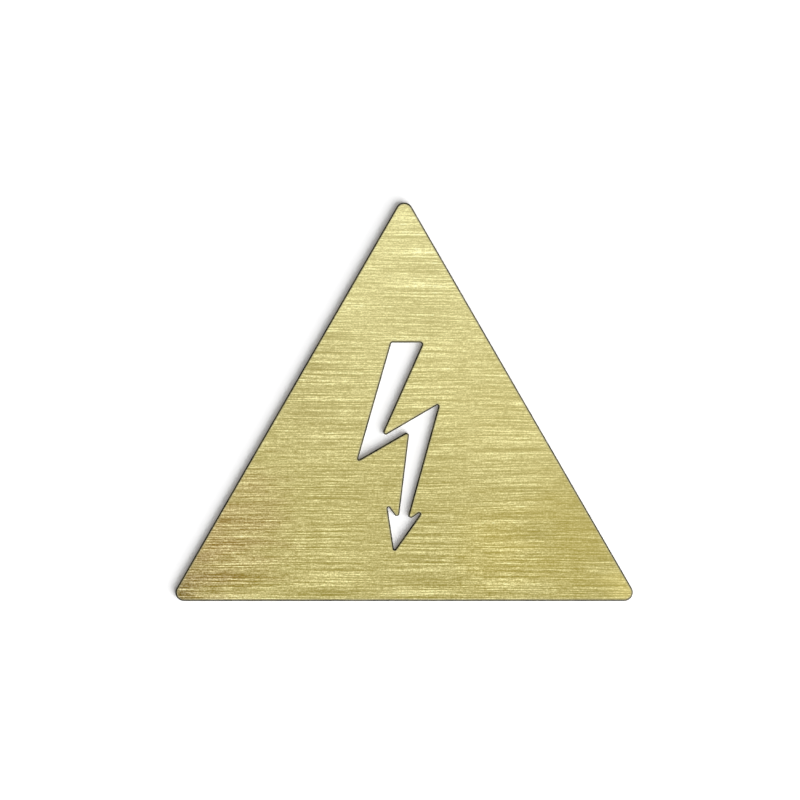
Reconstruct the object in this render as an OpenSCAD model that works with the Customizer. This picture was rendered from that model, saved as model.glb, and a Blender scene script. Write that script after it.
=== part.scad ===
// Electrical hazard sign: an equilateral triangle of brushed brass sheet with round corners and a
// lightning bolt with an arrow head cut right through it. The sign stands upright and faces -Y. The
// origin lies on its back face, in the middle of its overall width and height.

/* [Sheet] */
// Overall width of the sign across its two lower corners
sign_width = 100; // [90:1:150]
// Thickness of the brass sheet
sheet_thickness = 1.5; // [1:0.1:3]
// Radius of the three outer corners
corner_radius = 1.9; // [1:0.1:6]
// Width of the 45 degree break along every front edge
edge_break = 0.25; // [0.2:0.05:0.3]

/* [Lightning bolt] */
// Height of the bolt from the arrow's tip to its flat top
bolt_height = 45.5; // [40:0.5:46]
// Height of the arrow's tip above the sign's lower edge
tip_height = 11; // [8:0.5:14]
// Distance of the arrow's tip to the left of the sign's middle
tip_left = 2.2; // [-2:0.1:6]

/* [Corners of the cut] */
// Radius at the two ends of the bolt's flat top
top_radius = 0.4; // [0.3:0.05:0.6]
// Radius at the sharp points of the cut
point_radius = 0.2; // [0.2:0.05:0.3]
// Radius of the brass corners that reach into the bolt
brass_radius = 0.6; // [0.5:0.05:0.7]

/* [Hidden] */
$fn = 96;

// The cutter runs this far past the faces of the sheet.
reach = 0.05;
// An arc stands this much proud of the straight edges that it joins, so that they cross cleanly.
proud = 0.0005;
// The blank that the sign is cut from is this much larger all round.
blank_margin = 1;
// The slug that falls out of the bolt is this much smaller all round.
slug_margin = 0.07;

// The sides of the triangle, before its corners are rounded
side = sign_width + 2 * corner_radius * (sqrt(3) - 1);
sharp_height = side * sqrt(3) / 2;
sign_height = sharp_height - corner_radius;

// A corner is a point and the radius that rounds it. Both outlines are walked with the brass on the
// left, so the corner is one of the brass where they turn left, and one of the cut where they turn right.
plate_corners = [
    [[-side / 2, -sign_height / 2], corner_radius],
    [[side / 2, -sign_height / 2], corner_radius],
    [[0, sharp_height - sign_height / 2], corner_radius],
];

// The bolt's corners as hundredths of its height, across and up from the arrow's tip
bolt_drawing = [
    [[-1.3, 100], top_radius], // left end of the flat top
    [[13.8, 100], top_radius], // right end of the flat top
    [[-6.8, 53.9], brass_radius], // brass corner under the upper stroke
    [[21.5, 70.4], point_radius], // right shoulder
    [[5.9, 13.9], brass_radius], // right notch of the arrow head
    [[13.8, 19.4], point_radius], // right barb
    [[0, 0], point_radius], // tip of the arrow
    [[-3.3, 22.1], point_radius], // left barb
    [[2.2, 14.4], brass_radius], // left notch of the arrow head
    [[7.5, 57.8], brass_radius], // brass corner over the lower stroke
    [[-17.5, 43.4], point_radius], // left shoulder
];
tip = [-tip_left, tip_height - sign_height / 2];
bolt_corners = [for (c = bolt_drawing) [tip + c[0] * bolt_height / 100, c[1]]];

// Geometry of an outline and its rounded corners
function unit(v) = v / norm(v);
function right_of(v) = [v[1], -v[0]];
function heading(v) = atan2(v[1], v[0]);
function point(corners, i) = corners[(i + len(corners)) % len(corners)][0];
function radius(corners, i) = corners[(i + len(corners)) % len(corners)][1];
function ahead(corners, i) = unit(point(corners, i + 1) - point(corners, i));
function behind(corners, i) = -ahead(corners, i - 1);
function inward(corners, i) = unit(ahead(corners, i) + behind(corners, i));
function is_brass_corner(corners, i) = behind(corners, i) * right_of(ahead(corners, i)) < 0;
function half_angle(corners, i) = acos(ahead(corners, i) * behind(corners, i)) / 2;
function run_in(corners, i) = radius(corners, i) / tan(half_angle(corners, i));
function arc_start(corners, i) = point(corners, i) + behind(corners, i) * run_in(corners, i);
function arc_end(corners, i) = point(corners, i) + ahead(corners, i) * run_in(corners, i);
function arc_centre(corners, i) =
    point(corners, i) + inward(corners, i) * radius(corners, i) / sin(half_angle(corners, i));

// The outline moved away from the brass by a margin. It is only a rough shape, with its corners left
// sharp or cut straight across, because the cutter makes the true edge.
function rough_outline(corners, margin) = [
    for (i = [0 : len(corners) - 1])
        each is_brass_corner(corners, i)
            ? [point(corners, i) - inward(corners, i) * margin / sin(half_angle(corners, i))]
            : [
                arc_start(corners, i) + right_of(ahead(corners, i - 1)) * margin,
                arc_end(corners, i) + right_of(ahead(corners, i)) * margin,
            ]
];

// Section of the cutter: it leaves an upright wall at the given place across, with a 45 degree slope
// above it that breaks the edge of the brass, and clears a strip on the other side.
module cutter_section(wall_at, brass_side, clears) {
    slope_foot = sheet_thickness - edge_break;
    top = sheet_thickness + reach;
    polygon([
        [wall_at - brass_side * clears, -reach],
        [wall_at, -reach],
        [wall_at, slope_foot],
        [wall_at + brass_side * (top - slope_foot), top],
        [wall_at - brass_side * clears, top],
    ]);
}

// Fills a drawing right through the sheet, past the ends of the cutter, so that no two faces lie together.
module through_sheet() {
    translate([0, 0, -2 * reach])
        linear_extrude(sheet_thickness + 4 * reach)
            children();
}

// The cutter along the straight run from one corner's arc to the next one's. It runs on a little at a
// brass corner, until the arc there crosses it.
module straight_cut(corners, i, margin) {
    function overrun(i) = is_brass_corner(corners, i) ? 2 * sqrt(2 * radius(corners, i) * proud) : 0;
    direction = ahead(corners, i);
    start = arc_end(corners, i) - direction * overrun(i);
    end = arc_start(corners, i + 1) + direction * overrun(i + 1);
    translate([start[0], start[1], 0])
        rotate([0, 0, heading(direction)])
            rotate([90, 0, 90])
                linear_extrude(norm(end - start))
                    cutter_section(wall_at = 0, brass_side = 1, clears = 2 * margin);
}

// The cutter round a corner. At a brass corner it goes round the outside of the arc, within the kite
// between the arc's centre, its two ends and the sharp corner, drawn larger by the strip it clears.
module corner_cut(corners, i, margin) {
    centre = arc_centre(corners, i);
    arc_radius = radius(corners, i) + proud;
    kite = [centre, arc_start(corners, i), point(corners, i), arc_end(corners, i)];
    kite_scale = 1 + 2 * margin / radius(corners, i);
    ring_width = kite_scale * norm(point(corners, i) - centre);
    if (is_brass_corner(corners, i))
        intersection() {
            through_sheet()
                polygon([for (p = kite) centre + (p - centre) * kite_scale]);
            translate([centre[0], centre[1], 0])
                rotate_extrude()
                    cutter_section(wall_at = arc_radius, brass_side = -1, clears = ring_width);
        }
    else
        translate([centre[0], centre[1], 0])
            rotate_extrude()
                cutter_section(wall_at = arc_radius, brass_side = 1, clears = arc_radius);
}

// The cutter's whole way round one outline
module cut_along(corners, margin) {
    for (i = [0 : len(corners) - 1]) {
        straight_cut(corners, i, margin);
        corner_cut(corners, i, margin);
    }
}

// The sheet lies flat while it is cut, front face up, and is then stood up
module sign_plate() {
    color("#c9be7e")
        rotate([90, 0, 0])
            difference() {
                linear_extrude(sheet_thickness)
                    polygon(rough_outline(plate_corners, blank_margin));
                through_sheet()
                    polygon(rough_outline(bolt_corners, slug_margin));
                cut_along(plate_corners, blank_margin);
                cut_along(bolt_corners, slug_margin);
            }
}

sign_plate();
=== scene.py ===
"""Electrical hazard sign of brushed brass sheet, seen square on against a white wall."""

import logging
import math
from abc import ABC, abstractmethod
from collections.abc import Sequence
from dataclasses import dataclass
from enum import Enum
from typing import ClassVar

import bpy
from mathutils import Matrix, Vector

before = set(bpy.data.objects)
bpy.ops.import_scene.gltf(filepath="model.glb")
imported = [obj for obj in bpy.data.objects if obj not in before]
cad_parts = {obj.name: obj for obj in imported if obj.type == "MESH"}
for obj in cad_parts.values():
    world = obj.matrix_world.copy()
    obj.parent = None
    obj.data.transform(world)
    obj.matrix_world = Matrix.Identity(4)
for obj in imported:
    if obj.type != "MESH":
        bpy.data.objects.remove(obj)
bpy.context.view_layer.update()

LOG = logging.getLogger("hazard_sign")
MM = 0.001
# The dark tone of scorching, which also paints shade along the edges that face away from the lamps.
SOOT_AND_SHADE_TONE = "0c0b06"

Source = bpy.types.NodeSocket | float | Sequence[float]
Sockets = bpy.types.bpy_prop_collection


def linear_colour(hex_code: str) -> tuple[float, float, float, float]:
    """Turns a colour as it is seen on a screen into the linear one that a shader takes.

    Args:
        hex_code: six hexadecimal digits, as in "c9be7e".

    Returns:
        Red, green, blue and an alpha of 1.
    """
    shown = [int(hex_code[i : i + 2], 16) / 255 for i in (0, 2, 4)]
    red, green, blue = (c / 12.92 if c <= 0.04045 else ((c + 0.055) / 1.055) ** 2.4 for c in shown)
    return red, green, blue, 1.0


class Graph:
    """Adds nodes to one node tree and joins them."""

    def __init__(self, tree: bpy.types.NodeTree) -> None:
        """Starts with an empty tree.

        Args:
            tree: the tree of a material, a world or a group.
        """
        self.tree = tree
        self.tree.nodes.clear()

    def node(
        self, kind: str, sources: dict[str | int, Source] | None = None, **settings: object
    ) -> bpy.types.Node:
        """Adds one node and feeds its inputs.

        Args:
            kind: the node's type without its "ShaderNode" start.
            sources: what feeds each input, by the input's name or number.
            settings: properties of the node, by name.

        Returns:
            The new node.
        """
        made = self.tree.nodes.new(kind if kind.startswith("NodeGroup") else f"ShaderNode{kind}")
        for name, value in settings.items():
            setattr(made, name, value)
        for name, source in (sources or {}).items():
            self.feed(made.inputs[name], source)
        return made

    def feed(self, socket: bpy.types.NodeSocket, source: Source) -> None:
        """Links a socket to an output, or sets it to a constant.

        Args:
            socket: the input to feed.
            source: an output socket, a number or a row of numbers.
        """
        if isinstance(source, bpy.types.NodeSocket):
            self.tree.links.new(source, socket)
        else:
            socket.default_value = source

    def math(self, operation: str, *operands: Source, clamp: bool = False) -> bpy.types.NodeSocket:
        """Adds a Math node.

        Args:
            operation: Blender's name of the operation, such as "MULTIPLY".
            operands: its one to three inputs.
            clamp: keeps the result from 0 to 1.

        Returns:
            The node's output.
        """
        sources = dict(enumerate(operands))
        return self.node("Math", sources, operation=operation, use_clamp=clamp).outputs[0]

    def vector_math(self, operation: str, *operands: Source) -> bpy.types.NodeSocket:
        """Adds a Vector Math node.

        Args:
            operation: Blender's name of the operation.
            operands: its one or two vectors.

        Returns:
            The vector, or the number for a dot product or a length.
        """
        made = self.node("VectorMath", dict(enumerate(operands)), operation=operation)
        return made.outputs["Value" if operation in ("DOT_PRODUCT", "LENGTH") else "Vector"]

    def scaled(self, vector: Source, amount: Source) -> bpy.types.NodeSocket:
        """Multiplies a vector by a number.

        Args:
            vector: the vector or colour.
            amount: the number.

        Returns:
            The scaled vector.
        """
        made = self.node("VectorMath", {0: vector, "Scale": amount}, operation="SCALE")
        return made.outputs["Vector"]

    def axes(self, vector: Source) -> Sockets:
        """Takes a vector apart into outputs named X, Y and Z."""
        return self.node("SeparateXYZ", {0: vector}).outputs

    def ramp(
        self,
        value: Source,
        start: Source,
        end: Source,
        low: float = 0.0,
        high: float = 1.0,
        smooth: bool = True,
    ) -> bpy.types.NodeSocket:
        """Maps a value from one stretch to another and holds it at the ends.

        Args:
            value: the value to map.
            start: where the output is low.
            end: where the output is high.
            low: the output at the start.
            high: the output at the end.
            smooth: eases the output in and out at the ends, instead of going straight.

        Returns:
            The mapped value.
        """
        sources = {"Value": value, "From Min": start, "From Max": end, "To Min": low, "To Max": high}
        easing = "SMOOTHSTEP" if smooth else "LINEAR"
        return self.node("MapRange", sources, interpolation_type=easing).outputs["Result"]

    def mix_colour(self, amount: Source, below: Source, above: Source) -> bpy.types.NodeSocket:
        """Mixes two colours.

        Args:
            amount: the share of the second colour.
            below: the first colour.
            above: the second colour.

        Returns:
            The mixed colour.
        """
        # The node has its two values once for each kind, under the same names.
        sources = {0: amount, 6: below, 7: above}
        return self.node("Mix", sources, data_type="RGBA", clamp_factor=True).outputs[2]

    def mix_value(self, amount: Source, below: Source, above: Source) -> bpy.types.NodeSocket:
        """Mixes two numbers.

        Args:
            amount: the share of the second number.
            below: the first number.
            above: the second number.

        Returns:
            The mixed number.
        """
        # The node has its two values once for each kind, under the same names.
        sources = {0: amount, 2: below, 3: above}
        return self.node("Mix", sources, data_type="FLOAT", clamp_factor=True).outputs[0]

    def noise(self, place: Source, detail: float, flat: bool = False) -> bpy.types.NodeSocket:
        """Adds noise that swings evenly either side of zero, with cells of one unit.

        Args:
            place: where the noise is read, in cells.
            detail: the number of finer layers.
            flat: reads it on a plane, and not in space.

        Returns:
            The noise value.
        """
        sources = {"Vector": place, "Scale": 1.0, "Detail": detail}
        dimensions = "2D" if flat else "3D"
        return self.node("TexNoise", sources, noise_dimensions=dimensions, normalize=False).outputs[0]

    def flat_noise(self, across: Source, up: Source, detail: float = 0.0) -> bpy.types.NodeSocket:
        """Adds such noise on a plane.

        Args:
            across: place across the plane, in cells.
            up: place up the plane, in cells.
            detail: the number of finer layers.

        Returns:
            The noise value.
        """
        place = self.node("CombineXYZ", {"X": across, "Y": up}).outputs[0]
        return self.noise(place, detail, flat=True)

    def in_object(self, direction: Source) -> bpy.types.NodeSocket:
        """Turns a direction from the world's axes to the object's.

        Args:
            direction: the direction in the world.

        Returns:
            The direction in the object.
        """
        frames = {"convert_from": "WORLD", "convert_to": "OBJECT"}
        return self.node("VectorTransform", {0: direction}, vector_type="NORMAL", **frames).outputs[0]

    def place(self, effect: type["SharedEffect"], **inputs: Source) -> Sockets:
        """Places a shared effect in this tree.

        Args:
            effect: the effect's class.
            inputs: values for its inputs, with _ for each space in their names.

        Returns:
            The effect's outputs.
        """
        sources = {name.replace("_", " "): source for name, source in inputs.items()}
        return self.node("Group", sources, node_tree=effect.tree()).outputs


class SocketKind(Enum):
    """What a socket of a shared effect carries."""

    VALUE = "NodeSocketFloat"
    VECTOR = "NodeSocketVector"


class SharedEffect(ABC):
    """An effect of the surface, kept as a shader node group that is built once.

    Attributes:
        TITLE: the group's name.
        INPUTS: what each input carries, and its value when nothing feeds it.
        OUTPUTS: what each output carries.
    """

    TITLE: ClassVar[str]
    INPUTS: ClassVar[dict[str, tuple[SocketKind, float | None]]]
    OUTPUTS: ClassVar[dict[str, SocketKind]]

    @classmethod
    def tree(cls) -> bpy.types.NodeTree:
        """Gives the effect's node group, and builds it at the first call.

        Returns:
            The node group.
        """
        known = bpy.data.node_groups.get(cls.TITLE)
        if known is not None:
            return known
        tree = bpy.data.node_groups.new(cls.TITLE, "ShaderNodeTree")
        for name, (kind, value) in cls.INPUTS.items():
            socket = tree.interface.new_socket(name=name, in_out="INPUT", socket_type=kind.value)
            if value is not None:
                socket.default_value = value
        for name, kind in cls.OUTPUTS.items():
            tree.interface.new_socket(name=name, in_out="OUTPUT", socket_type=kind.value)
        graph = Graph(tree)
        given = graph.node("NodeGroupInput").outputs
        graph.node("NodeGroupOutput", cls.wire(graph, given))
        return tree

    @staticmethod
    @abstractmethod
    def wire(graph: Graph, given: Sockets) -> dict[str, bpy.types.NodeSocket]:
        """Builds the effect's nodes.

        Args:
            graph: the group's own graph.
            given: the group's inputs, by name.

        Returns:
            An output socket for each of the effect's outputs.
        """


class SheetZones(SharedEffect):
    """Finds the sheet's broken edge, cut wall and back face by which way they face.

    Attributes:
        FORWARD: the direction of the sign's front.
        FACE_FROM: how squarely a surface faces forward or back where it begins to be a face, and
            where it is all face.
        BREAK_FROM: the same where the wall goes over into the broken edge.
    """

    TITLE = "sheet_zones"
    INPUTS = {}
    OUTPUTS = {
        "Broken Edge": SocketKind.VALUE,
        "Cut Wall": SocketKind.VALUE,
        "Back": SocketKind.VALUE,
    }

    FORWARD: ClassVar[tuple[float, float, float]] = (0.0, -1.0, 0.0)
    FACE_FROM: ClassVar[tuple[float, float]] = (0.85, 0.93)
    BREAK_FROM: ClassVar[tuple[float, float]] = (0.3, 0.45)

    @staticmethod
    def wire(graph: Graph, given: Sockets) -> dict[str, bpy.types.NodeSocket]:
        """Builds three masks from the surface's own direction, which leave the front face over.

        Args:
            graph: the group's own graph.
            given: the group's inputs, of which there are none.

        Returns:
            A mask for each zone.
        """
        facing = graph.in_object(graph.node("NewGeometry").outputs["True Normal"])
        forward = graph.vector_math("DOT_PRODUCT", facing, SheetZones.FORWARD)
        begins, full = SheetZones.FACE_FROM
        front = graph.ramp(forward, begins, full)
        back = graph.ramp(forward, -begins, -full)
        beyond_wall = graph.ramp(forward, *SheetZones.BREAK_FROM)
        broken_edge = graph.math("SUBTRACT", beyond_wall, front, clamp=True)
        behind_edge = graph.math("SUBTRACT", 1.0, beyond_wall)
        cut_wall = graph.math("SUBTRACT", behind_edge, back, clamp=True)
        return {"Broken Edge": broken_edge, "Cut Wall": cut_wall, "Back": back}


class EdgeBand(SharedEffect):
    """A narrow band along every edge, and how far the edge faces up and to the left.

    Attributes:
        SAMPLES: how many times the direction round a spot is sampled.
        UPPER_LEFT: the direction up and to the left.
        TURN: how far an edge faces that way where its mask begins, and where it is full.
    """

    TITLE = "edge_band"
    INPUTS = {
        "Width": (SocketKind.VALUE, 0.4 * MM),
        "Lean Inside": (SocketKind.VALUE, 0.004),
        "Lean At Edge": (SocketKind.VALUE, 0.013),
    }
    OUTPUTS = {"Mask": SocketKind.VALUE, "Upper Left": SocketKind.VALUE}

    SAMPLES: ClassVar[int] = 12
    UPPER_LEFT: ClassVar[tuple[float, float, float]] = (-0.6, 0.0, 0.8)
    TURN: ClassVar[tuple[float, float]] = (0.0, 0.08)

    @staticmethod
    def wire(graph: Graph, given: Sockets) -> dict[str, bpy.types.NodeSocket]:
        """Compares the surface's direction with the mean one round it, which leans over near an edge.

        Args:
            graph: the group's own graph.
            given: the band's width in metres, and how far the direction leans at its inner side and
                at the edge.

        Returns:
            The band's mask, and a mask of the edges that face up and to the left.
        """
        mean = graph.node("Bevel", {"Radius": given["Width"]}, samples=EdgeBand.SAMPLES).outputs[0]
        own = graph.node("NewGeometry").outputs["True Normal"]
        lean = graph.math("SUBTRACT", 1.0, graph.vector_math("DOT_PRODUCT", mean, own))
        side = graph.vector_math("DOT_PRODUCT", graph.in_object(mean), EdgeBand.UPPER_LEFT)
        return {
            "Mask": graph.ramp(lean, given["Lean Inside"], given["Lean At Edge"]),
            "Upper Left": graph.ramp(side, *EdgeBand.TURN),
        }


@dataclass(frozen=True)
class GrainLayer:
    """One size of streak in a brushed surface, in millimetres.

    Attributes:
        length: length of the streaks.
        width: distance from one streak to the next.
        strength: the layer's share of the whole grain.
    """

    length: float
    width: float
    strength: float

    def read(self, graph: Graph, along: Source, height: Source, step: float) -> bpy.types.NodeSocket:
        """Reads the layer at a place.

        Args:
            graph: the graph that the layer is added to.
            along: place along the streaks.
            height: place across them.
            step: how many cells the layer is moved, so that no two layers line up.

        Returns:
            The layer's value, even about zero.
        """
        cells_along = graph.math("MULTIPLY_ADD", along, 1 / self.length, step)
        cells_up = graph.math("MULTIPLY_ADD", height, 1 / self.width, step)
        return graph.math("MULTIPLY", graph.flat_noise(cells_along, cells_up), self.strength)


class BrushedGrain(SharedEffect):
    """Streaks left by brushing along the sheet's width, from long hairlines down to short flecks.

    Attributes:
        LAYERS: the sizes of streak that are added up.
        BAND: the broad bands.
        SWAYS: the swings in height along the streaks, a short ripple and a long sway.
        LAYER_STEP: how many cells each layer is moved against the one before.
        BAND_STEP: how many cells the bands are moved.
        SWAY_STEP: how many cells the ripple is moved, and the sway one more.
        UNEVENNESS: how much more the bright streaks stand out than the dark ones.
    """

    TITLE = "brushed_grain"
    INPUTS = {
        "Position": (SocketKind.VECTOR, None),
        "Stretch": (SocketKind.VALUE, 1.0),
        "Waviness": (SocketKind.VALUE, 0.1),
        "Shift": (SocketKind.VALUE, 0.0),
    }
    OUTPUTS = {"Streaks": SocketKind.VALUE, "Broad Bands": SocketKind.VALUE}

    LAYERS: ClassVar[tuple[GrainLayer, ...]] = (
        GrainLayer(length=20.0, width=0.25, strength=2.0),
        GrainLayer(length=3.2, width=0.25, strength=1.05),
        GrainLayer(length=0.9, width=0.25, strength=0.95),
        GrainLayer(length=0.35, width=0.25, strength=1.15),
        GrainLayer(length=20.0, width=0.45, strength=0.2),
        GrainLayer(length=3.0, width=0.45, strength=0.1),
        GrainLayer(length=0.9, width=0.45, strength=0.1),
        GrainLayer(length=25.0, width=0.9, strength=0.12),
        GrainLayer(length=4.0, width=0.9, strength=0.08),
        GrainLayer(length=30.0, width=1.8, strength=0.08),
    )
    BAND: ClassVar[GrainLayer] = GrainLayer(length=16.0, width=3.0, strength=1.0)
    SWAYS: ClassVar[tuple[GrainLayer, ...]] = (
        GrainLayer(length=6.0, width=1.6, strength=1.0),
        GrainLayer(length=40.0, width=25.0, strength=6.0),
    )
    LAYER_STEP: ClassVar[float] = 17.3
    BAND_STEP: ClassVar[float] = 3.7
    SWAY_STEP: ClassVar[float] = 5.1
    UNEVENNESS: ClassVar[float] = 0.2

    @staticmethod
    def wire(graph: Graph, given: Sockets) -> dict[str, bpy.types.NodeSocket]:
        """Adds up the layers, read at a height that sways a little along each streak.

        Args:
            graph: the group's own graph.
            given: position in millimetres, how many times longer the streaks are drawn out,
                waviness in millimetres, and how far along the pattern is read, in millimetres.

        Returns:
            The streaks and the broad bands, both even about zero.
        """
        place = graph.axes(given["Position"])
        along = graph.math("DIVIDE", graph.math("ADD", place["X"], given["Shift"]), given["Stretch"])
        height = place["Z"]
        for number, sway in enumerate(BrushedGrain.SWAYS):
            swing = sway.read(graph, along, place["Z"], BrushedGrain.SWAY_STEP + number)
            height = graph.math("ADD", height, graph.math("MULTIPLY", swing, given["Waviness"]))
        streaks: Source = 0.0
        for number, layer in enumerate(BrushedGrain.LAYERS, start=1):
            read = layer.read(graph, along, height, number * BrushedGrain.LAYER_STEP)
            streaks = graph.math("ADD", streaks, read)
        squared = graph.math("MULTIPLY", streaks, streaks)
        streaks = graph.math("MULTIPLY_ADD", squared, BrushedGrain.UNEVENNESS, streaks)
        bands = BrushedGrain.BAND.read(graph, along, height, BrushedGrain.BAND_STEP)
        return {"Streaks": streaks, "Broad Bands": bands}


class SoftPatch(SharedEffect):
    """A soft oval patch with a ragged rim, on the sheet's face.

    Attributes:
        RAG_LENGTH: length of the bays in its rim, along the grain, in millimetres.
        RAG_HEIGHT: their height, in millimetres.
        RAG_DETAIL: the number of finer layers in the rim.
    """

    TITLE = "soft_patch"
    INPUTS = {
        "Position": (SocketKind.VECTOR, None),
        "Centre": (SocketKind.VECTOR, None),
        "Reach": (SocketKind.VECTOR, None),
        "Raggedness": (SocketKind.VALUE, 0.2),
    }
    OUTPUTS = {"Mask": SocketKind.VALUE}

    RAG_LENGTH: ClassVar[float] = 12.0
    RAG_HEIGHT: ClassVar[float] = 2.5
    RAG_DETAIL: ClassVar[float] = 3.0

    @staticmethod
    def wire(graph: Graph, given: Sockets) -> dict[str, bpy.types.NodeSocket]:
        """Falls off smoothly from the centre, by the distance in reaches with noise added to it.

        Args:
            graph: the group's own graph.
            given: position, centre and reach in millimetres, and the raggedness.

        Returns:
            The patch's mask.
        """
        away = graph.vector_math("SUBTRACT", given["Position"], given["Centre"])
        distance = graph.vector_math("LENGTH", graph.vector_math("DIVIDE", away, given["Reach"]))
        place = graph.axes(given["Position"])
        along = graph.math("MULTIPLY", place["X"], 1 / SoftPatch.RAG_LENGTH)
        height = graph.math("MULTIPLY", place["Z"], 1 / SoftPatch.RAG_HEIGHT)
        bays = graph.flat_noise(along, height, detail=SoftPatch.RAG_DETAIL)
        ragged = graph.math("ADD", distance, graph.math("MULTIPLY", bays, given["Raggedness"]))
        return {"Mask": graph.ramp(ragged, 1.0, 0.0)}


class CutMarks(SharedEffect):
    """Fine marks that the cut leaves on the sheet's walls, and uneven scorching along them.

    Attributes:
        DRAWN_OUT: how fast the marks change through the thickness, against along the wall.
        SCORCH_LENGTH: length of the scorched stretches, in millimetres.
        SCORCH_RANGE: the noise at which scorching begins, and at which it is full.
    """

    TITLE = "cut_marks"
    INPUTS = {"Position": (SocketKind.VECTOR, None), "Pitch": (SocketKind.VALUE, 0.12)}
    OUTPUTS = {"Striae": SocketKind.VALUE, "Scorch": SocketKind.VALUE}

    DRAWN_OUT: ClassVar[float] = 0.12
    SCORCH_LENGTH: ClassVar[float] = 4.0
    SCORCH_RANGE: ClassVar[tuple[float, float]] = (-0.7, 0.7)

    @staticmethod
    def wire(graph: Graph, given: Sockets) -> dict[str, bpy.types.NodeSocket]:
        """Reads noise that is drawn out through the thickness, and slower noise for the scorching.

        Args:
            graph: the group's own graph.
            given: position and the pitch of the marks, in millimetres.

        Returns:
            The striae, even about zero, and the scorching from 0 to 1.
        """
        drawn_out = graph.vector_math("MULTIPLY", given["Position"], (1.0, CutMarks.DRAWN_OUT, 1.0))
        marks = graph.scaled(drawn_out, graph.math("DIVIDE", 1.0, given["Pitch"]))
        stretches = graph.scaled(drawn_out, 1 / CutMarks.SCORCH_LENGTH)
        return {
            "Striae": graph.noise(marks, detail=1.0),
            "Scorch": graph.ramp(graph.noise(stretches, detail=2.0), *CutMarks.SCORCH_RANGE),
        }


@dataclass(frozen=True)
class FaceField:
    """A soft oval field on the face, with sizes in millimetres.

    Attributes:
        centre: its middle, across and up.
        reach: how far it goes, across and up.
        DEPTH: how far it goes through the sheet, which is far beyond it.
    """

    centre: tuple[float, float]
    reach: tuple[float, float]

    DEPTH: ClassVar[float] = 1000.0

    def mask(self, graph: Graph, place: Source) -> bpy.types.NodeSocket:
        """Places the field in a graph.

        Args:
            graph: the material's graph.
            place: position in millimetres.

        Returns:
            The field's mask, from 0 outside it to 1 at its middle.
        """
        across, up = self.centre
        wide, high = self.reach
        middle = (across, 0.0, up)
        reach = (wide, self.DEPTH, high)
        return graph.place(SoftPatch, Position=place, Centre=middle, Reach=reach)["Mask"]


@dataclass(frozen=True)
class ToneField(FaceField):
    """A field of another tone.

    Attributes:
        strength: the tone's share of the colour at the field's middle.
        tone: the tone, as it is seen.
    """

    strength: float
    tone: str


@dataclass(frozen=True)
class GrainField(FaceField):
    """A field where the grain is stronger or weaker.

    Attributes:
        contrast: the grain's contrast at the field's middle.
    """

    contrast: float


@dataclass(frozen=True)
class FaceTones:
    """The tones of the brushed face, without its grain, with painted reflection that makes it lighter
    towards the top.

    Attributes:
        top: the tone at the upper corner, lightened by painted reflection.
        low: the tone in the lower half, without that painted reflection.
        fade: heights between which the one goes over into the other, in millimetres.
        fields: a pale field right of the bolt, a darker one left of it, two of tarnish at the lower
            left and one of painted shade at the lower left corner's tip, and at the lower right a
            darker one between two pale ones.
        in_grain: how much stronger those tones are in the dark streaks than in the bright ones.
    """

    top: str = "e4dc9e"
    low: str = "c3b877"
    fade: tuple[float, float] = (-22.0, 42.0)
    fields: tuple[ToneField, ...] = (
        ToneField(centre=(26.0, -2.0), reach=(34.0, 32.0), strength=0.5, tone="dcd18e"),
        ToneField(centre=(-26.0, 6.0), reach=(20.0, 28.0), strength=0.4, tone="b5a96e"),
        ToneField(centre=(-46.0, -28.0), reach=(28.0, 26.0), strength=0.85, tone="b39c68"),
        ToneField(centre=(-50.0, -39.0), reach=(15.0, 10.0), strength=0.65, tone="a08c62"),
        # Painted shade: a small dark field at the tip of the lower left corner.
        ToneField(centre=(-49.5, -41.5), reach=(5.0, 4.0), strength=0.7, tone="7d6c3e"),
        ToneField(centre=(37.0, -30.0), reach=(17.0, 22.0), strength=0.75, tone="bcae64"),
        ToneField(centre=(20.0, -32.0), reach=(14.0, 16.0), strength=0.55, tone="d0c175"),
        ToneField(centre=(49.0, -41.0), reach=(8.0, 8.0), strength=0.85, tone="d8ca80"),
    )
    in_grain: float = 0.2

    def colour(self, graph: Graph, place: Source, streaks: Source) -> bpy.types.NodeSocket:
        """Builds the tone of the face at each place.

        Args:
            graph: the material's graph.
            place: position in millimetres.
            streaks: the brushed grain.

        Returns:
            The tone.
        """
        # Painted reflection: the face grows lighter from the lower half up to the upper corner.
        painted_reflection_climb = graph.ramp(graph.axes(place)["Z"], *self.fade, smooth=False)
        colour = graph.mix_colour(painted_reflection_climb, linear_colour(self.low), linear_colour(self.top))
        deeper = graph.math("MULTIPLY_ADD", streaks, -self.in_grain, 1.0)
        for patch in self.fields:
            strength = graph.math("MULTIPLY", patch.mask(graph, place), patch.strength)
            share = graph.math("MULTIPLY", strength, deeper)
            colour = graph.mix_colour(share, colour, linear_colour(patch.tone))
        return colour


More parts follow.
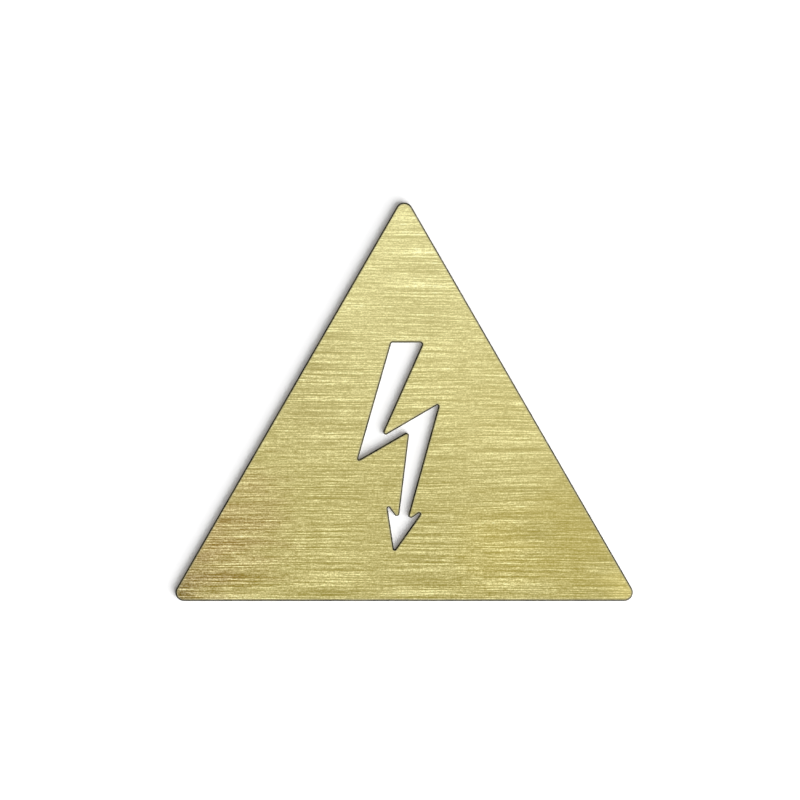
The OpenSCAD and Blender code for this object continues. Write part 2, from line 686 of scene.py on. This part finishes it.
@dataclass(frozen=True)
class FaceGrain:
    """How strongly the brushing shows in the colour of the face.

    Attributes:
        strength: the measure of the streaks.
        band_strength: the measure of the broad bands.
        heights: heights of the face's lower edge and upper corner, in millimetres.
        contrast: the grain's contrast at those heights.
        fields: two fields of stronger grain along the lower edge, and one of weaker on the right.
        swing_base: what is added to a tone to give the swing of its streaks.
        darkest: the colour that no streak is darker than.
    """

    strength: float = 0.2
    band_strength: float = 0.022
    heights: tuple[float, float] = (-43.5, 43.5)
    contrast: tuple[float, float] = (1.1, 0.82)
    fields: tuple[GrainField, ...] = (
        GrainField(centre=(-48.0, -42.0), reach=(46.0, 26.0), contrast=1.4),
        GrainField(centre=(18.0, -44.0), reach=(26.0, 24.0), contrast=1.3),
        GrainField(centre=(42.0, -24.0), reach=(24.0, 30.0), contrast=0.6),
    )
    swing_base: tuple[float, float, float] = (0.14, 0.18, 0.22)
    darkest: tuple[float, float, float] = (0.02, 0.02, 0.01)

    def brushed(
        self, graph: Graph, place: Source, tone: Source, grain: Sockets
    ) -> bpy.types.NodeSocket:
        """Draws the grain into the tone of the face.

        Args:
            graph: the material's graph.
            place: position in millimetres.
            tone: the face's tone.
            grain: the outputs of the brushed grain.

        Returns:
            The brushed colour.
        """
        contrast = graph.ramp(graph.axes(place)["Z"], *self.heights, *self.contrast, smooth=False)
        for patch in self.fields:
            contrast = graph.mix_value(patch.mask(graph, place), contrast, patch.contrast)
        measure = graph.math("MULTIPLY", grain["Streaks"], self.strength)
        measure = graph.math("MULTIPLY_ADD", grain["Broad Bands"], self.band_strength, measure)
        measure = graph.math("MULTIPLY", measure, contrast)
        swing = graph.vector_math("ADD", tone, self.swing_base)
        brushed = graph.vector_math("ADD", tone, graph.scaled(swing, measure))
        return graph.vector_math("MAXIMUM", brushed, self.darkest)


@dataclass(frozen=True)
class EdgeLine:
    """A line on the face along its edges.

    Attributes:
        tone: its tone, as it is seen.
        width: its width, in millimetres.
        lean: how far the direction round a spot leans where the line begins, and where it is full.
    """

    tone: str
    width: float
    lean: tuple[float, float]

    def band(self, graph: Graph) -> Sockets:
        """Places the band that the line lies in.

        Args:
            graph: the material's graph.

        Returns:
            The band's outputs.
        """
        inside, at_edge = self.lean
        return graph.place(EdgeBand, Width=self.width * MM, Lean_Inside=inside, Lean_At_Edge=at_edge)


@dataclass(frozen=True)
class EdgeLines:
    """The pale line of painted highlight and the dark line of scorching and painted shade on the face
    along its edges.

    Attributes:
        edge_highlight: the pale line of painted highlight, where the edges catch light.
        highlight_strength: its share of the colour.
        soot_and_shade: the dark line, of scorching all round, with painted shade added on the edges
            that face up and to the left, away from the lamps.
        unshaded_soot: its strength on the edges that face down or to the right, which is scorching
            only, against 1 on those that face up and to the left, where painted shade is added.
        sole_heights: heights between which the lower edge's line sets in, in millimetres.
        sole_soot: how far the lower edge goes from the least strength to the full one.
    """

    edge_highlight: EdgeLine = EdgeLine(tone="c8c29a", width=0.7, lean=(0.003, 0.012))
    highlight_strength: float = 0.6
    soot_and_shade: EdgeLine = EdgeLine(tone=SOOT_AND_SHADE_TONE, width=0.4, lean=(0.004, 0.013))
    unshaded_soot: float = 0.3
    sole_heights: tuple[float, float] = (-42.6, -42.9)
    sole_soot: float = 0.5

    def drawn(self, graph: Graph, place: Source, brushed: Source) -> bpy.types.NodeSocket:
        """Draws both lines over the brushed colour.

        Args:
            graph: the material's graph.
            place: position in millimetres.
            brushed: the brushed colour.

        Returns:
            The face's colour.
        """
        # Painted highlight: a pale line along every edge, where the edge catches light.
        edge_highlight = graph.math("MULTIPLY", self.edge_highlight.band(graph)["Mask"], self.highlight_strength)
        highlighted_face = graph.mix_colour(edge_highlight, brushed, linear_colour(self.edge_highlight.tone))
        band = self.soot_and_shade.band(graph)
        sole = graph.ramp(graph.axes(place)["Z"], *self.sole_heights, 0.0, self.sole_soot)
        # Painted shade: the dark line is drawn at full strength on the edges that face up and to the
        # left, away from the lamps, and more strongly along the lower edge; elsewhere only its
        # scorching shows.
        shade_side_and_sole = graph.math("MAXIMUM", band["Upper Left"], sole)
        strength = graph.mix_value(shade_side_and_sole, self.unshaded_soot, 1.0)
        soot_and_shade_mask = graph.math("MULTIPLY", band["Mask"], strength)
        return graph.mix_colour(soot_and_shade_mask, highlighted_face, linear_colour(self.soot_and_shade.tone))


@dataclass(frozen=True)
class BrushedFace:
    """The finish of the front: brushed along the sign's width and tarnished, lighter towards the top by
    painted reflection, with painted shade at the lower left corner's tip and, along its edges, a line
    of painted highlight and a dark line of scorching and painted shade.

    Attributes:
        tones: its tones without the grain.
        grain: the grain in its colour.
        edges: the lines along its edges.
    """

    tones: FaceTones = FaceTones()
    grain: FaceGrain = FaceGrain()
    edges: EdgeLines = EdgeLines()

    def colour(self, graph: Graph, place: Source, grain: Sockets) -> bpy.types.NodeSocket:
        """Builds the colour of the front.

        Args:
            graph: the material's graph.
            place: position in millimetres.
            grain: the outputs of the brushed grain.

        Returns:
            The front's colour.
        """
        tone = self.tones.colour(graph, place, grain["Streaks"])
        brushed = self.grain.brushed(graph, place, tone, grain)
        return self.edges.drawn(graph, place, brushed)


@dataclass(frozen=True)
class MillBack:
    """The finish of the back: plain, with the faint lines of rolling.

    Attributes:
        tone: its tone, as it is seen.
        lines: what one measure of rolling lines adds to the tone.
        fine_lines: the share of fine lines, against 1 for broad ones.
        stretch: how many times longer the lines are than the front's streaks.
        shift: how far along the front's pattern they are read, in millimetres.
    """

    tone: str = "c8ba78"
    lines: tuple[float, float, float] = (0.082, 0.079, 0.047)
    fine_lines: float = 0.8
    stretch: float = 2.5
    shift: float = 210.0

    def colour(self, graph: Graph, place: Source) -> bpy.types.NodeSocket:
        """Builds the colour of the back.

        Args:
            graph: the material's graph.
            place: position in millimetres.

        Returns:
            The back's colour.
        """
        rolled = graph.place(BrushedGrain, Position=place, Stretch=self.stretch, Shift=self.shift)
        measure = graph.math("MULTIPLY_ADD", rolled["Streaks"], self.fine_lines, rolled["Broad Bands"])
        return graph.vector_math("ADD", linear_colour(self.tone)[:3], graph.scaled(self.lines, measure))


@dataclass(frozen=True)
class CutEdge:
    """The finish of the broken edge and the wall behind it, both scorched by the cut.

    Attributes:
        edge_tone: the tone of the broken edge where it is least scorched, and of the wall between
            the ridges of its marks.
        wall_tone: the tone of the wall on those ridges.
        wall_scorch: the share of the dark scorch tone where the wall is scorched most.
        ridge_range: the striae's values at the foot of a ridge and at its top.
        metallic: how much of the metal shows through.
        roughness: its roughness.
    """

    edge_tone: str = "4e4a33"
    wall_tone: str = "8f7a45"
    wall_scorch: float = 0.55
    ridge_range: tuple[float, float] = (-0.5, 0.5)
    metallic: float = 0.5
    roughness: float = 0.6

    def colour(self, graph: Graph, wall: Source, marks: Sockets) -> bpy.types.NodeSocket:
        """Builds the colour of what was cut.

        Args:
            graph: the material's graph.
            wall: the mask of the cut wall.
            marks: the outputs of the cut marks.

        Returns:
            The colour.
        """
        bare = linear_colour(self.edge_tone)
        soot_and_shade = linear_colour(SOOT_AND_SHADE_TONE)
        edge = graph.mix_colour(marks["Scorch"], bare, soot_and_shade)
        ridge = graph.ramp(marks["Striae"], *self.ridge_range)
        striped = graph.mix_colour(ridge, bare, linear_colour(self.wall_tone))
        burnt = graph.math("MULTIPLY", marks["Scorch"], self.wall_scorch)
        return graph.mix_colour(wall, edge, graph.mix_colour(burnt, striped, soot_and_shade))


@dataclass(frozen=True)
class BrushedBrass:
    """The finish of the sheet: brushed in front, dark where it was cut, plain behind.

    Attributes:
        front: the finish of the front face.
        cut: the finish of the broken edge and the cut wall.
        back: the finish of the back face.
        specular: how strongly the scorched edge shines.
        roughness: the roughness of both faces.
        uneven_roughness: what one measure of streaks adds to that roughness.
        grain_depth: the depth of the streaks, in millimetres.
    """

    front: BrushedFace = BrushedFace()
    cut: CutEdge = CutEdge()
    back: MillBack = MillBack()
    specular: float = 0.2
    roughness: float = 0.4
    uneven_roughness: float = 0.02
    grain_depth: float = 0.0015

    def material(self, name: str) -> bpy.types.Material:
        """Makes the material of the sheet.

        Args:
            name: the material's name.

        Returns:
            The material.
        """
        made = bpy.data.materials.new(name)
        made.use_nodes = True
        graph = Graph(made.node_tree)
        place = graph.scaled(graph.node("TexCoord").outputs["Object"], 1 / MM)
        zones = graph.place(SheetZones)
        grain = graph.place(BrushedGrain, Position=place)
        marks = graph.place(CutMarks, Position=place)
        cut = graph.math("ADD", zones["Broken Edge"], zones["Cut Wall"], clamp=True)

        front_colour = self.front.colour(graph, place, grain)
        faces = graph.mix_colour(zones["Back"], front_colour, self.back.colour(graph, place))
        cut_colour = self.cut.colour(graph, zones["Cut Wall"], marks)
        uneven = graph.math("MULTIPLY_ADD", grain["Streaks"], self.uneven_roughness, self.roughness)
        relief = {
            "Strength": 1.0,
            "Distance": self.grain_depth * MM,
            "Height": graph.mix_value(cut, grain["Streaks"], marks["Striae"]),
        }
        surface = {
            "Base Color": graph.mix_colour(cut, faces, cut_colour),
            "Metallic": graph.mix_value(cut, 1.0, self.cut.metallic),
            "Roughness": graph.mix_value(cut, uneven, self.cut.roughness),
            "Specular IOR Level": self.specular,
            "Normal": graph.node("Bump", relief).outputs["Normal"],
        }
        graph.node("OutputMaterial", {"Surface": graph.node("BsdfPrincipled", surface).outputs[0]})
        return made


@dataclass
class SignPlate:
    """The sign itself, which is one cut sheet.

    Attributes:
        node: the frame's node that holds its shape.
        slot: the name of a material slot for its finish, which is not used.
        finish: the finish of its surfaces.
        rounding: the radius that is left on its sharp edges, in millimetres.
        rounding_steps: how many faces that radius is made of.
        sharp_from: the angle from which an edge counts as sharp, in degrees.
        joins_within: corners this close are joined into one, in millimetres.
    """

    node: str = "sign_plate"
    slot: str = "brushed_brass"
    finish: BrushedBrass = BrushedBrass()
    rounding: float = 0.04
    rounding_steps: int = 2
    sharp_from: float = 30.0
    joins_within: float = 0.0001

    def build(self) -> bpy.types.Object:
        """Rounds the edges of the sheet a little and dresses it.

        Returns:
            The sign's object.
        """
        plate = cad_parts[self.node]
        self._round_edges(plate)
        plate.data.materials.clear()
        plate.data.materials.append(self.finish.material("brushed_brass_sheet"))
        return plate

    def _round_edges(self, plate: bpy.types.Object) -> None:
        """Joins the mesh's faces where they meet and rounds its sharp edges.

        Args:
            plate: the sign's object.
        """
        joined = plate.modifiers.new("joined_faces", "WELD")
        joined.merge_threshold = self.joins_within * MM
        rounded = plate.modifiers.new("rounded_edges", "BEVEL")
        rounded.width = self.rounding * MM
        rounded.segments = self.rounding_steps
        rounded.limit_method = "ANGLE"
        rounded.angle_limit = math.radians(self.sharp_from)


@dataclass(frozen=True)
class SoftLamp:
    """A large soft lamp that faces the sign, and that metal doesn't mirror.

    Attributes:
        off_axis: its angle from straight in front of the sign, in degrees.
        roll: its direction round that axis, in degrees above the right.
        spread: half the angle that it spans, in degrees.
        share: the brightness that it gives a white wall behind the sign.
        distance: its distance from the sign, in metres.
    """

    off_axis: float
    roll: float
    spread: float
    share: float
    distance: float = 1.2

    def build(self, name: str) -> bpy.types.Object:
        """Hangs the lamp.

        Args:
            name: the lamp's name.

        Returns:
            The lamp.
        """
        off_axis = math.radians(self.off_axis)
        roll = math.radians(self.roll)
        spread = math.radians(self.spread)
        across = math.sin(off_axis)
        towards = Vector((across * math.cos(roll), -math.cos(off_axis), across * math.sin(roll)))
        light = bpy.data.lights.new(name, "AREA")
        light.shape = "DISK"
        light.size = 2 * self.distance * math.tan(spread)
        square = (math.pi * self.distance / math.cos(spread)) ** 2
        light.energy = self.share * square / math.cos(off_axis)
        lamp = bpy.data.objects.new(name, light)
        bpy.context.scene.collection.objects.link(lamp)
        lamp.location = towards * self.distance
        lamp.rotation_euler = towards.to_track_quat("Z", "Y").to_euler()
        lamp.visible_camera = False
        lamp.visible_glossy = False
        return lamp


@dataclass
class Studio:
    """The white wall behind the sign, the floor, the lamps and the light from all round.

    Lengths are in metres.

    Attributes:
        wall_gap: distance from the sign's back to the wall.
        contact: rays shorter than this run between the sign's back and the wall, and go through
            the wall.
        wall_size: side of the square wall.
        floor_drop: how far the floor lies under the sign's middle.
        wall_white: how much light the wall and floor give back.
        wall_lift: light that the wall and floor add for the camera, near the sign and away from it.
        near: distances from the sign's middle between which that light rises.
        lamps: the lamp low on the right, and the weaker one almost straight in front.
        fill: the wall's brightness by the light from all round.
        mirrored: brightness that polished metal shows below and above the horizon.
    """

    wall_gap: float = 0.02 * MM
    contact: float = 0.2 * MM
    wall_size: float = 4.0
    floor_drop: float = 1.6
    wall_white: float = 0.95
    wall_lift: tuple[float, float] = (0.13, 0.4)
    near: tuple[float, float] = (0.062, 0.12)
    lamps: tuple[SoftLamp, ...] = (
        SoftLamp(off_axis=52.0, roll=-38.0, spread=30.0, share=0.78),
        SoftLamp(off_axis=10.0, roll=-38.0, spread=12.0, share=0.16),
    )
    fill: float = 0.1
    mirrored: tuple[float, float] = (0.85, 1.15)

    def build(self) -> list[bpy.types.Object]:
        """Makes the wall, the floor, the lamps and the world.

        Returns:
            The wall and the floor.
        """
        paint = self._paint()
        half = self.wall_size / 2
        low = -self.floor_drop
        gap = self.wall_gap
        wall_corners = [(-half, gap, low), (half, gap, low), (half, gap, half), (-half, gap, half)]
        floor_corners = [(-half, -half, low), (half, -half, low), (half, gap, low), (-half, gap, low)]
        sheets = [self._sheet("wall", paint, wall_corners), self._sheet("floor", paint, floor_corners)]
        for number, lamp in enumerate(self.lamps):
            lamp.build(f"soft_lamp_{number}")
        self._world()
        return sheets

    @staticmethod
    def _sheet(
        name: str, paint: bpy.types.Material, corners: list[tuple[float, float, float]]
    ) -> bpy.types.Object:
        """Makes one flat sheet of the studio, which metal doesn't mirror.

        Args:
            name: the object's name.
            paint: its material.
            corners: its corners, anticlockwise as its front is seen.

        Returns:
            The object.
        """
        mesh = bpy.data.meshes.new(name)
        mesh.from_pydata(corners, [], [tuple(range(len(corners)))])
        mesh.materials.append(paint)
        made = bpy.data.objects.new(name, mesh)
        bpy.context.scene.collection.objects.link(made)
        made.visible_glossy = False
        return made

    def _paint(self) -> bpy.types.Material:
        """Makes the white paint, which shows from its front only, and not to the sign's back.

        Returns:
            The material.
        """
        made = bpy.data.materials.new("studio_white")
        made.use_nodes = True
        graph = Graph(made.node_tree)
        path = graph.node("LightPath").outputs
        surface = graph.node("NewGeometry").outputs
        matt = graph.node("BsdfDiffuse", {"Color": (self.wall_white,) * 3 + (1.0,)})
        away = graph.vector_math("LENGTH", surface["Position"])
        lift = graph.ramp(away, *self.near, *self.wall_lift)
        glow = graph.node("Emission", {"Strength": graph.math("MULTIPLY", path["Is Camera Ray"], lift)})
        seen = graph.node("AddShader", {0: matt.outputs[0], 1: glow.outputs[0]})
        from_contact = graph.math("LESS_THAN", path["Ray Length"], self.contact)
        unseen = graph.math("MAXIMUM", from_contact, surface["Backfacing"])
        clear = graph.math("MAXIMUM", unseen, path["Is Shadow Ray"])
        hidden = graph.node("BsdfTransparent")
        mixed = graph.node("MixShader", {0: clear, 1: seen.outputs[0], 2: hidden.outputs[0]})
        graph.node("OutputMaterial", {"Surface": mixed.outputs[0]})
        return made

    def _world(self) -> None:
        """Lights the scene from all round, with white for the camera and a soft sky for metal."""
        world = bpy.data.worlds.new("studio_light")
        world.use_nodes = True
        world.cycles.sampling_method = "NONE"
        bpy.context.scene.world = world
        graph = Graph(world.node_tree)
        path = graph.node("LightPath").outputs
        direction = graph.axes(graph.node("TexCoord").outputs["Generated"])
        sky = graph.ramp(direction["Z"], -1.0, 1.0, *self.mirrored)
        strength = graph.mix_value(path["Is Glossy Ray"], self.fill, sky)
        clear = graph.math("MAXIMUM", path["Is Camera Ray"], path["Is Transmission Ray"])
        light = {"Color": (1.0, 1.0, 1.0, 1.0), "Strength": graph.mix_value(clear, strength, 1.0)}
        graph.node("OutputWorld", {"Surface": graph.node("Background", light).outputs[0]})


@dataclass
class PhotoCamera:
    """The camera that sees the sign as it was photographed: square on, from well back.

    Attributes:
        lens: focal length, in millimetres.
        sensor: width of the sensor, in millimetres.
        picture_side: side of the square picture, in pixels.
        pixel_size: what one pixel covers on the sign, in millimetres.
        sign_middle: where the middle of the sign lies, in pixels from the left and the top.
        outline_depth: distance of the sign's outline in front of its back, in millimetres.
    """

    lens: float = 120.0
    sensor: float = 36.0
    picture_side: float = 800.0
    pixel_size: float = 0.2186
    sign_middle: tuple[float, float] = (404.1, 401.75)
    outline_depth: float = 1.25

    def build(self) -> bpy.types.Object:
        """Sets up the camera.

        Returns:
            The camera.
        """
        data = bpy.data.cameras.new("photo_camera")
        data.lens = self.lens
        data.sensor_width = self.sensor
        camera = bpy.data.objects.new("photo_camera", data)
        bpy.context.scene.collection.objects.link(camera)
        distance = self.lens / self.sensor * self.picture_side * self.pixel_size
        across = (self.picture_side / 2 - self.sign_middle[0]) * self.pixel_size
        up = (self.sign_middle[1] - self.picture_side / 2) * self.pixel_size
        camera.location = Vector((across, -distance - self.outline_depth, up)) * MM
        camera.rotation_euler = (math.radians(90), 0.0, 0.0)
        bpy.context.scene.camera = camera
        return camera


def main() -> None:
    """Builds the camera, the sign and the studio in turn."""
    logging.basicConfig(level=logging.INFO, format="%(name)s: %(message)s")
    bpy.context.scene.view_settings.view_transform = "Standard"
    camera = PhotoCamera().build()
    LOG.info("camera %.0f mm in front of the wall", -camera.location.y / MM)
    plate = SignPlate().build()
    LOG.info("%s: %d faces as packed", plate.name, len(plate.data.polygons))
    for sheet in Studio().build():
        LOG.info("%s: part of the studio", sheet.name)


if __name__ == "__main__":
    main()
